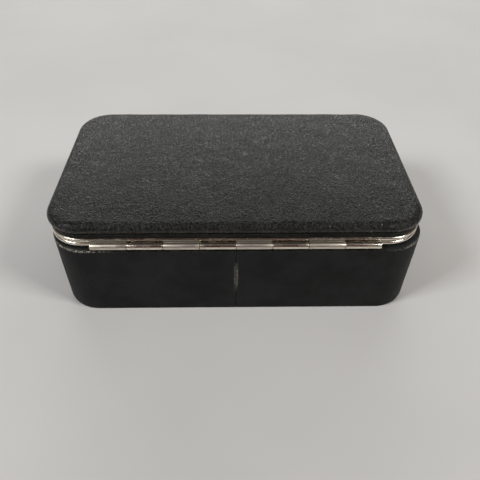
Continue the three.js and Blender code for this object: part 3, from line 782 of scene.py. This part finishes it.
halves = (("lid", 1, brushed_nickel, "brushed_nickel"), ("base", -1, nickel, "nickel"))
for number in range(1, 5):
    for side, up, finish, slot in halves:
        node = f"{side}_knuckle_{number}"
        grid = knuckle_grid(*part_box(node), up)
        make_piece(node + "_roll", grid, finish, side, node, slot, (False, True), caps=True)


def turned(profile, middle, axis, sides=32):
    """A profile of distances along an axis and radii from it, turned all the way round."""
    along, radius = (np.asarray(part)[None, :, None] for part in profile)
    angle = np.linspace(0, 2 * math.pi, sides, endpoint=False)[:, None, None]
    axis = np.asarray(axis, float)
    first = np.roll(axis, 1)
    second = np.cross(axis, first)
    return np.asarray(middle) + along * axis + radius * (np.cos(angle) * first + np.sin(angle) * second)


pin_radius = (hinge_high.z - hinge_low.z) / 2
pin_half = (hinge_high.x - hinge_low.x) / 2
pin_end = arc((pin_half - 0.3 * MM, 0), (0.3 * MM, pin_radius), 0, 90, 6)
profile = chain(pin_end, (-pin_end[0][::-1], pin_end[1][::-1]))
grid = turned(profile, ((hinge_low.x + hinge_high.x) / 2, hinge_y, hinge_z), (1, 0, 0))
make_piece("hinge_pin_steel", grid, spring_steel, "base", "hinge_pin", "spring_steel", (True, False))

# %% [markdown]
# ## Base cover
# One strip of leather runs round the base, and its ends meet in a butt seam at the middle of the back. The
# path therefore starts and stops at the seam, and the two ends wander a little so that the gap is not ruler
# straight. At the top the strip turns in over the wall, where it follows the rims' outline instead of the
# skin's, so the flange's last points are shared out between the two. The dye has worn off along the seam
# and at the top edge, and the light line along the top edge is partly a painted highlight.

# %% Base cover
side_low, side_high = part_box("base_side_cover")
SEAM = 0.35 * MM
TOP_ROLL = 1.1 * MM
rows = 520
perimeter = 4 * (skin[1].x + skin[1].y) - (8 - 2 * math.pi) * CORNER
skin_path = walk(skin[0], skin[1], CORNER, rows, SEAM, rims[0].x - skin[0].x)
rim_twin = walk(rims[0], rims[1], CORNER, rows, SEAM)
outer = chain(
    ([0.3 * MM], [side_low.z]),
    ([0.06 * MM, 0], [side_low.z + 0.1 * MM, side_low.z + 0.45 * MM]),
    (np.zeros(22), np.linspace(side_low.z + 2 * MM, side_high.z - TOP_ROLL - 0.5 * MM, 22)),
    arc((TOP_ROLL, side_high.z - TOP_ROLL), (TOP_ROLL, TOP_ROLL), 180, 90, 9),
)
turn_in = np.array([0.35, 0.7, 1.0])
share = np.concatenate([np.zeros(len(outer[0])), turn_in])
heights = np.concatenate([outer[1], np.full(3, side_high.z)])
from_skin = np.concatenate([outer[0], np.full(3, TOP_ROLL)])
inner_skin = np.maximum(from_skin, LEATHER)
inner_heights = np.minimum(heights, side_high.z - LEATHER)
both_share = np.concatenate([share, share[::-1]])
both_skin = np.concatenate([from_skin, inner_skin[::-1]])
both_heights = np.concatenate([heights, inner_heights[::-1]])
on_skin = carry(skin_path, CORNER, both_skin, both_heights)
on_rims = carry(rim_twin, CORNER, np.full(len(both_skin), flange_inset), both_heights)
grid = on_skin + (on_rims - on_skin) * both_share[None, :, None]

face_count = len(heights)
x, y, z = np.moveaxis(grid, 2, 0)
round_way = (np.arange(rows) / (rows - 1) * perimeter)[:, None] * np.ones_like(z)
at_seam = np.exp(-(((np.minimum(round_way, perimeter - round_way)) / (0.35 * MM)) ** 2))
outside = (np.arange(2 * face_count) < face_count)[None, :] & (both_share == 0)[None, :]
uneven = 0.07 * MM * waves(round_way, z, 9, 11 * MM, 8) + 0.05 * MM
directions = skin_path[1][:, None, :]
grid[:, :, :2] -= directions * (np.abs(uneven) * outside)[:, :, None]
ends = np.zeros(rows)
ends[0], ends[-1] = 1, -1
grid[:, :, 0] += ends[:, None] * 0.13 * MM * waves(z, z * 0, 6, 3.5 * MM, 12) * np.abs(ends)[:, None]

# The top edge is lighter. The frayed patch at the back left is worn dye. The light line along the edge,
# stronger towards both ends, is partly worn dye and partly a painted highlight where light catches the rounded
# edge.
top_edge = np.exp(-(((z - side_high.z + 0.7 * MM) / (0.4 * MM)) ** 2)) * (both_share < 0.3)[None, :]
frayed = np.exp(-(((x - side_low.x - 20 * MM) / (9 * MM)) ** 2)) * (y < 0)
corner_rub_and_highlight = np.exp(-(((np.abs(x) - side_high.x + 7 * MM) / (7 * MM)) ** 2))
edge_wear_and_highlight = top_edge * (0.1 + 0.9 * corner_rub_and_highlight + 1.6 * frayed)
seam_wear = at_seam * np.exp(-(((z - 27 * MM) / (9 * MM)) ** 4)) * 0.8
base_wear_and_highlight = np.where(outside | (both_share < 0.3)[None, :], np.clip(edge_wear_and_highlight + seam_wear, 0, 1), 0)
base_cover = make_piece(
    "base_side_leather", grid, base_leather, "base", "base_side_cover", "black_leather", (False, True),
    caps=True, wear_and_highlight=base_wear_and_highlight,
)

# %% [markdown]
# ## Underside
# The bottom is closed by one more panel of leather with a soft edge. It stands a hair inside the side
# cover, so from the side only a thin dark line shows between the two.

# %% Underside
under_low, under_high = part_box("underside_cover")
skin_ring = walk(skin[0], skin[1], CORNER, ROUND_STEPS)
under_inset = skin[1].x - (under_high.x - under_low.x) / 2
edge = chain(
    arc((under_inset + 0.5 * MM, under_low.z + 0.5 * MM), (0.5 * MM, 0.5 * MM), 270, 180, 6),
    arc((under_inset + 0.4 * MM, under_high.z - 0.4 * MM), (0.4 * MM, 0.4 * MM), 180, 90, 6),
)
flat_middle = np.array([skin[0].x, skin[0].y])


def flat_rings(path, corner, inset, height, middle, shrinks):
    """Rings that shrink from an outline to its middle at one height."""
    edge_ring = carry(path, corner, inset, height)
    flat = middle + (edge_ring[:, :, :2] - middle) * np.asarray(shrinks)[None, :, None]
    return np.concatenate([flat, np.full(flat.shape[:2] + (1,), height)], 2)


inward = np.linspace(0, 0.98, 8)
grid = np.concatenate(
    [
        flat_rings(skin_ring, CORNER, edge[0][0], under_low.z, flat_middle, inward),
        carry(skin_ring, CORNER, *edge),
        flat_rings(skin_ring, CORNER, edge[0][-1], under_high.z, flat_middle, inward[::-1]),
    ],
    1,
)
make_piece(
    "underside_leather", grid, base_leather, "base", "underside_cover", "black_leather",
    (True, False), wear_and_highlight=0.1,
)

# %% [markdown]
# ## Linings
# Velvet on a thin card lines both halves. The base's lining is a plain band round the wall. The lid's is a
# shallow tray whose panel is lightly padded, so it swells a little downwards when the lid is shut.

# %% Linings
lining_low, lining_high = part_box("base_lining")
LINING = 0.6 * MM
lining_inset = rims[1].x - (lining_high.x - lining_low.x) / 2
tip = LINING / 2
section = chain(
    ([lining_inset] * 2, [lining_low.z, lining_high.z - tip]),
    arc((lining_inset + tip, lining_high.z - tip), (tip, tip), 150, 30, 5),
    ([lining_inset + LINING] * 12, np.linspace(lining_high.z - tip, lining_low.z, 12)),
)
base_lining = make_piece(
    "base_lining_velvet", carry(rim_path, CORNER, *section), lining_velvet, "base", "base_lining", "velvet"
)

tray_low, tray_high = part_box("lid_lining")
PANEL = 0.8 * MM
SWELL = 0.75 * MM
panel_z = tray_high.z - PANEL
section = chain(
    ([lining_inset] * 2, [tray_high.z, tray_low.z + tip]),
    arc((lining_inset + tip, tray_low.z + tip), (tip, tip), 210, 330, 5),
    ([lining_inset + LINING] * 4, np.linspace(tray_low.z + tip, panel_z - 0.5 * MM, 4)),
    arc((lining_inset + LINING + 0.5 * MM, panel_z - 0.5 * MM), (0.5 * MM, 0.5 * MM), 180, 90, 5),
)
seam_inset = lining_inset + LINING + 0.5 * MM
rings = crowned_rings(seam_inset, panel_z, 0, 40)
x, y = rings[:, :, 0], rings[:, :, 1]
half_x, half_y = rims[1].x - seam_inset, rims[1].y - seam_inset
from_edge = np.minimum(half_x - np.abs(x - rims[0].x), half_y - np.abs(y - rims[0].y))
puff = 1 - np.exp(-np.clip(from_edge, 0, None) / (4 * MM))
rings[:, :, 2] -= puff * (SWELL + 0.08 * MM * waves(x, y, 7, 22 * MM, 21))
grid = np.concatenate(
    [
        crowned_rings(lining_inset, tray_high.z, 0, 8)[:, ::-1],
        carry(rim_path, CORNER, *section),
        rings[:, 1:],
    ],
    1,
)
lid_lining = make_piece(
    "lid_lining_velvet", grid, lining_velvet, "lid", "lid_lining", "velvet", (True, False)
)

# %% [markdown]
# ## Rack and card box
# Both inserts are blocks with the corners of the case, covered in flock. Half-round troughs hold the chips
# on edge, and a well with a finger notch at each end holds the cards. A block is a swept outline like the
# rest, and the hollows are cut from it. The tools' own edges are smooth curves with many sides, and a Bevel
# modifier then softens every edge, as the flock does.

# %% Rack and card box
TRAY_INSET = 5.5 * MM
tray_path = walk(rims[0], rims[1], CORNER, 160)
rack_low, rack_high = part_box("chip_rack")
box_low, box_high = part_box("card_box")


def tray_block(low, high):
    """The part of the tray's outline between two values of x, as a closed block."""
    section = ([TRAY_INSET] * 2, [low.z, high.z])
    middle = np.array([rims[0].x, rims[0].y])
    grid = np.concatenate(
        [
            flat_rings(tray_path, CORNER, TRAY_INSET, low.z, middle, [0]),
            carry(tray_path, CORNER, *section),
            flat_rings(tray_path, CORNER, TRAY_INSET, high.z, middle, [0]),
        ],
        1,
    )
    grid[:, :, 0] = np.clip(grid[:, :, 0], low.x, high.x)
    return grid


def rod(name, radius, middle, axis, half, sides, squash=1.0):
    """A closed round bar to cut with."""
    grid = turned(([-half, -half, half, half], [0, radius, radius, 0]), (0, 0, 0), axis, sides)
    grid[:, :, 1] *= squash
    grid += np.asarray(middle)
    mesh = bpy.data.meshes.new(name)
    mesh.from_pydata(grid.reshape(-1, 3).tolist(), [], quads(sides, 4, True, False))
    shape = bmesh.new()
    shape.from_mesh(mesh)
    bmesh.ops.remove_doubles(shape, verts=shape.verts, dist=1e-7)
    bmesh.ops.recalc_face_normals(shape, faces=shape.faces)
    shape.to_mesh(mesh)
    shape.free()
    tool = bpy.data.objects.new(name, mesh)
    scene.collection.objects.link(tool)
    return tool


def soften(piece, width, segments=3):
    """Rounds every edge sharper than 40 degrees, then smooths the shading."""
    bevel = piece.modifiers.new("soft_edges", "BEVEL")
    bevel.width, bevel.segments = width, segments
    bevel.limit_method, bevel.angle_limit = "ANGLE", math.radians(40)
    bevel.harden_normals = False
    ready = piece.evaluated_get(bpy.context.evaluated_depsgraph_get())
    soft = bpy.data.meshes.new_from_object(ready)
    piece.modifiers.clear()
    old, piece.data = piece.data, soft
    soft.name = piece.name
    bpy.data.meshes.remove(old)
    soft.shade_smooth()
    soft.set_sharp_from_angle(angle=math.radians(50))


chip_openings = [o for o in record["physics"]["openings"] if o["name"].endswith("_mouth")]
TROUGH_RADIUS = 19.2 * MM
TROUGH_HALF = 44.05 * MM
rack = make_piece(
    "chip_rack_flock", tray_block(rack_low, rack_high), flock, "base", "chip_rack", "velvet", (True, False)
)
troughs = []
for opening in chip_openings:
    low, high = map(Vector, opening["box_m"])
    middle = (low.x + high.x) / 2
    trough_middle = (middle, rims[0].y, rack_high.z)
    troughs.append(rod("trough", TROUGH_RADIUS, trough_middle, (0, 1, 0), TROUGH_HALF, 128))
subtract(rack, troughs)
soften(rack, 0.45 * MM)

well_opening = next(o for o in record["physics"]["openings"] if o["name"] == "card_well")
well_low, well_high = map(Vector, well_opening["box_m"])
WELL_ROOM = 0.4 * MM
NOTCH_RADIUS = 9 * MM
card_box = make_piece(
    "card_box_flock", tray_block(box_low, box_high), flock, "base", "card_box", "velvet", (True, False)
)
notch_z = well_low.z - WELL_ROOM + 4 * MM + (box_high.z - box_low.z)
well_x = (well_low.x + well_high.x) / 2
box_tall = box_high.z - box_low.z
notches = [
    rod("notch", NOTCH_RADIUS, (well_x, y, notch_z), (0, 0, 1), box_tall, 64, 0.5)
    for y in (well_low.y - WELL_ROOM, well_high.y + WELL_ROOM)
]
subtract(card_box, notches)
cut_away(
    card_box,
    [well_low.x - WELL_ROOM, well_low.y - WELL_ROOM, well_low.z - WELL_ROOM],
    [well_high.x + WELL_ROOM, well_high.y + WELL_ROOM, box_high.z + MM],
)
soften(card_box, 0.45 * MM)
print("troughs:", len(troughs), "rack faces:", len(rack.data.polygons))
print("box faces:", len(card_box.data.polygons))

# %% [markdown]
# ## Latch
# At the front a small plate holds the push button. These pieces face forwards instead of upwards, so the
# same rounded outlines are walked in the plane of the front and the profile's height becomes the distance
# out of it.

# %% Latch
plate_low, plate_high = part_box("latch_plate")
button_low, button_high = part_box("latch_button")
latch_middle = (plate_low + plate_high) / 2


def facing_front(grid, middle, y):
    """Turns a grid that lies flat so that it stands in the front wall: up becomes out."""
    across, up, out = np.moveaxis(grid, 2, 0)
    return np.stack([middle.x + across, y + out, middle.z + up], 2)


def small_outline(width, height, corner, count=96):
    """A small rounded rectangle round nought."""
    return walk((0, 0), (width / 2, height / 2), corner, count), corner


plate_size = plate_high - plate_low
BUTTON_FLANGE = 0.7 * MM
button_wide = button_high.x - button_low.x - 2 * BUTTON_FLANGE
button_tall = button_high.z - button_low.z - 2 * BUTTON_FLANGE
GAP = 0.3 * MM
soft = 0.3 * MM
outer_path, outer_corner = small_outline(plate_size.x, plate_size.z, 3 * MM)
hole_path, hole_corner = small_outline(button_wide + 2 * GAP, button_tall + 2 * GAP, 1.8 * MM)
edge = chain(arc((soft, plate_size.y - soft), (soft, soft), 180, 90, 6))
lip = chain(arc((-soft, plate_size.y - soft), (soft, soft), 90, 0, 6))
grid = np.concatenate(
    [
        carry(outer_path, outer_corner, 0, 0),
        carry(outer_path, outer_corner, *edge),
        carry(hole_path, hole_corner, *lip),
        carry(hole_path, hole_corner, 0, 0),
    ],
    1,
)
grid = facing_front(grid, latch_middle, plate_low.y)
make_piece("latch_plate_nickel", grid, nickel, "base", "latch_plate", "nickel")

proud = button_high.y
back = button_low.y
cap_path, cap_corner = small_outline(button_wide, button_tall, 1.5 * MM)
FLANGE_DEEP = 0.7 * MM
LEDGE = 1.3 * MM
flange_back = front_y - LEDGE - FLANGE_DEEP
stem = (5 * MM, 3 * MM)
stem_path, stem_corner = small_outline(*stem, 0.4 * MM)
dome = arc((0.9 * MM, proud - 0.9 * MM), (0.9 * MM, 0.9 * MM), 180, 90, 8)
sides = chain(
    ([-BUTTON_FLANGE], [flange_back]),
    ([-BUTTON_FLANGE], [front_y - LEDGE]),
    ([0], [front_y - LEDGE]),
    dome,
)
cap = carry(cap_path, cap_corner, *sides)
inner = cap[:, -1:, :2] * np.linspace(1, 0, 12)[None, 1:, None]
dish = proud - 0.25 * MM * (1 - np.linspace(1, 0, 12)[1:] ** 2)
inner = np.concatenate([inner, np.broadcast_to(dish[None, :, None], inner.shape[:2] + (1,))], 2)
stem_grid = carry(stem_path, stem_corner, [0, 0], [back, flange_back])
stem_end = np.concatenate([stem_grid[:, :1, :2] * 0, stem_grid[:, :1, 2:]], 2)
grid = np.concatenate([stem_end, stem_grid, cap, inner], 1)
make_piece(
    "latch_button_nickel", facing_front(grid, latch_middle, 0), nickel, "button", "latch_button", "nickel",
    (True, False),
)

for side in ("left", "right"):
    node = "plate_rivet_" + side
    low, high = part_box(node)
    middle = (low + high) / 2
    head = (high.x - low.x) / 2
    HEAD_TALL = 0.8 * MM
    profile = chain(
        ([low.y, low.y], [0, 0.9 * MM]),
        ([high.y - HEAD_TALL] * 2, [0.9 * MM, head]),
        arc((high.y - HEAD_TALL, 0), (HEAD_TALL, head), 90, 0, 12),
    )
    grid = turned(profile, (middle.x, 0, middle.z), (0, 1, 0), 40)
    make_piece(node + "_nickel", grid, nickel, "base", node, "nickel", (True, False))

# %% [markdown]
# ## Inside the latch
# The leaf spring and its rivet sit behind a small cover that two nails hold. In the case the spring bends
# when the button pushes it, its foot staying with the base and its hook moving with the button; here it is
# one fixed leaf that rides on no body.

# %% Spring, rivet and nails
for node in ("spring_rivet", "case_nail_left", "case_nail_right"):
    is_rivet = node == "spring_rivet"
    body_low = 0.7 * MM if is_rivet else 0.6 * MM
    low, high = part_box(node)
    middle = (low + high) / 2
    head = (high.x - low.x) / 2
    shank = 0.9 * MM if is_rivet else 0.6 * MM
    profile = chain(
        ([high.y, high.y], [0, shank]),
        ([low.y + body_low] * 2, [shank, head]),
        arc((low.y + body_low, 0), (-body_low, head), 90, 0, 10),
    )
    slot_name = "spring_steel" if is_rivet else "nickel"
    finish = spring_steel if is_rivet else nickel
    grid = turned(profile, (middle.x, 0, middle.z), (0, 1, 0), 32)
    make_piece(node + "_turned", grid, finish, "base", node, slot_name, (True, False))

spring_low, spring_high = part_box("latch_spring")
SPRING_SHEET = 0.4 * MM
bend = 0.5 * MM
leaf_y = spring_low.y + SPRING_SHEET / 2
hook_z = spring_high.z - SPRING_SHEET / 2
line = chain(
    ([leaf_y] * 24, np.linspace(spring_low.z, hook_z - bend, 24)),
    arc((leaf_y + bend, hook_z - bend), (bend, bend), 180, 90, 8),
    ([spring_high.y], [hook_z]),
)
section = bent_sheet(*resample(*line, SPRING_SHEET, 0.3 * MM), SPRING_SHEET)
wide = (spring_high.x - spring_low.x) / 2
HOOK_HALF = 3 * MM
narrowing = np.clip((np.asarray(section[0]) - leaf_y - bend) / (0.4 * MM), 0, 1)
half_width = wide + (HOOK_HALF - wide) * narrowing
middle_x = (spring_low.x + spring_high.x) / 2
across = np.array([-1, -0.98, 0.98, 1])
grid = np.stack(
    [
        middle_x + across[:, None] * half_width[None, :],
        np.broadcast_to(section[0], (4, len(section[0]))),
        np.broadcast_to(section[1], (4, len(section[0]))),
    ],
    2,
)
spring = make_piece(
    "latch_spring_leaf", grid, spring_steel, None, "latch_spring", "spring_steel", (False, True), caps=True
)
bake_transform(spring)

# %% [markdown]
# ## Openings behind the latch
# The button's stem, the rivets, the spring's hook and the nails all pass through the leather or the lining.
# Each opening is a box a little larger than what goes through it, so that the button can be pressed without
# touching.

# %% Cut the openings
def opening(piece, middle_x, middle_z, wide, tall, inset, deep=3 * MM):
    """A rectangular opening in the front of a piece, centred on an inset from the front plane."""
    low = [middle_x - wide / 2 - ROOM, front_y - inset - deep / 2, middle_z - tall / 2 - ROOM]
    high = [middle_x + wide / 2 + ROOM, front_y - inset + deep / 2, middle_z + tall / 2 + ROOM]
    cut_away(piece, low, high)


ROOM = 0.35 * MM
LINING_INSET = lining_inset + LINING / 2
button_size = button_high - button_low
opening(base_cover, latch_middle.x, latch_middle.z, button_size.x, button_size.z, LEATHER / 2)
opening(base_lining, latch_middle.x, latch_middle.z, *stem, LINING_INSET)
opening(base_lining, middle_x, hook_z, 2 * HOOK_HALF, SPRING_SHEET, LINING_INSET)
for node, width in (("plate_rivet_left", 1.8 * MM), ("plate_rivet_right", 1.8 * MM)):
    low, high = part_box(node)
    opening(base_cover, (low.x + high.x) / 2, (low.z + high.z) / 2, width, width, LEATHER / 2)
lining_holes = {"spring_rivet": 1.8 * MM, "case_nail_left": 1.2 * MM, "case_nail_right": 1.2 * MM}
for node, width in lining_holes.items():
    low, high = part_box(node)
    opening(base_lining, (low.x + high.x) / 2, (low.z + high.z) / 2, width, width, LINING_INSET)
for piece in (base_cover, base_lining):
    piece.data.set_sharp_from_angle(angle=math.radians(40))
    print(piece.name, "faces after cutting:", len(piece.data.polygons))

# %% [markdown]
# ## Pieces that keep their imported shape
# Boards, walls, the latch's cover and the catch already have the right shape. They only need a finish.

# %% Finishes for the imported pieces
for node, finish in {
    "base_wall": fibreboard,
    "base_board": fibreboard,
    "lid_board": fibreboard,
    "latch_case": brushed_nickel,
    "lid_catch": spring_steel,
}.items():
    mesh = frame["nodes"][node].data
    mesh.materials.clear()
    mesh.materials.append(finish)

# %% [markdown]
# ## Studio
# The case stands on a plain pale surface. A soft light hangs to each side, so that soft shadows fall to the
# left and the right, and a wide low light behind the case lights the lid and the hinge. The room adds a
# little: grey behind the case, dark and warm behind the camera.

# %% Floor
def floor_finish():
    finish, shader, add, put = start_finish("pale_floor")
    place = add("TexCoord", 3)
    noise, to_range = noise_maker(add, place), ranger(add)
    tree = finish.node_tree
    tone = add("Mix", 2, settings={"data_type": "RGBA"})
    tree.links.new(to_range(noise(6.0, 3.0), 0.3, 0.7), tone.node.inputs[0])
    tone.node.inputs[6].default_value = colour(0.66, 0.66, 0.645)
    tone.node.inputs[7].default_value = colour(0.70, 0.70, 0.685)
    put("Base Color", tone)
    put("Roughness", 0.6)
    put("Specular IOR Level", 0.3)
    return finish


side = 4.0
floor_mesh = bpy.data.meshes.new("floor")
floor_mesh.from_pydata(
    [(-side, -side, -0.0001), (side, -side, -0.0001), (side, side, -0.0001), (-side, side, -0.0001)],
    [],
    [(0, 1, 2, 3)],
)
floor_mesh.materials.append(floor_finish())
floor = bpy.data.objects.new("floor", floor_mesh)
scene.collection.objects.link(floor)


# %% Lights and room
def soft_light(name, place, size, power, tint, aim=(0, 0, 0.02)):
    lamp = bpy.data.lights.new(name, "AREA")
    lamp.shape, lamp.size, lamp.size_y = "RECTANGLE", size[0], size[1]
    lamp.energy, lamp.color = power, tint
    holder = bpy.data.objects.new(name, lamp)
    holder.location = place
    holder.rotation_euler = (Vector(aim) - Vector(place)).to_track_quat("-Z", "Y").to_euler()
    scene.collection.objects.link(holder)


def on_dome(heading, height, distance=1.2):
    """A point at a compass heading and a height, both in degrees, at a distance from the case."""
    turn, rise = math.radians(heading), math.radians(height)
    flat = distance * math.cos(rise)
    return flat * math.cos(turn), flat * math.sin(turn), distance * math.sin(rise)


soft_light("left_light", on_dome(208, 45), (0.3, 0.3), 6.2, (0.99, 1.0, 1.0))
soft_light("right_light", on_dome(332, 45), (0.3, 0.3), 5.9, (1.0, 0.985, 0.95))
soft_light("back_light", on_dome(90, 25, 1.4), (2.2, 0.4), 11.3, (1.0, 1.0, 0.98))

room = bpy.data.worlds.new("room")
scene.world = room
room.use_nodes = True
nodes, links = room.node_tree.nodes, room.node_tree.links
heading = nodes.new("ShaderNodeTexCoord")
toward = nodes.new("ShaderNodeVectorMath")
toward.operation = "DOT_PRODUCT"
links.new(heading.outputs["Generated"], toward.inputs[0])
toward.inputs[1].default_value = (0.0, 0.6, 0.8)
fade = nodes.new("ShaderNodeMapRange")
fade.interpolation_type = "SMOOTHSTEP"
for index, value in ((1, 0.2), (2, 0.9), (3, 0.0), (4, 1.0)):
    fade.inputs[index].default_value = value
links.new(toward.outputs["Value"], fade.inputs[0])
tones = nodes.new("ShaderNodeMix")
tones.data_type = "RGBA"
tones.inputs[6].default_value = (0.06, 0.022, 0.018, 1)
tones.inputs[7].default_value = (0.11, 0.11, 0.105, 1)
links.new(fade.outputs[0], tones.inputs[0])
links.new(tones.outputs[2], nodes["Background"].inputs[0])
nodes["Background"].inputs[1].default_value = 1.0
scene.view_settings.view_transform = "Standard"
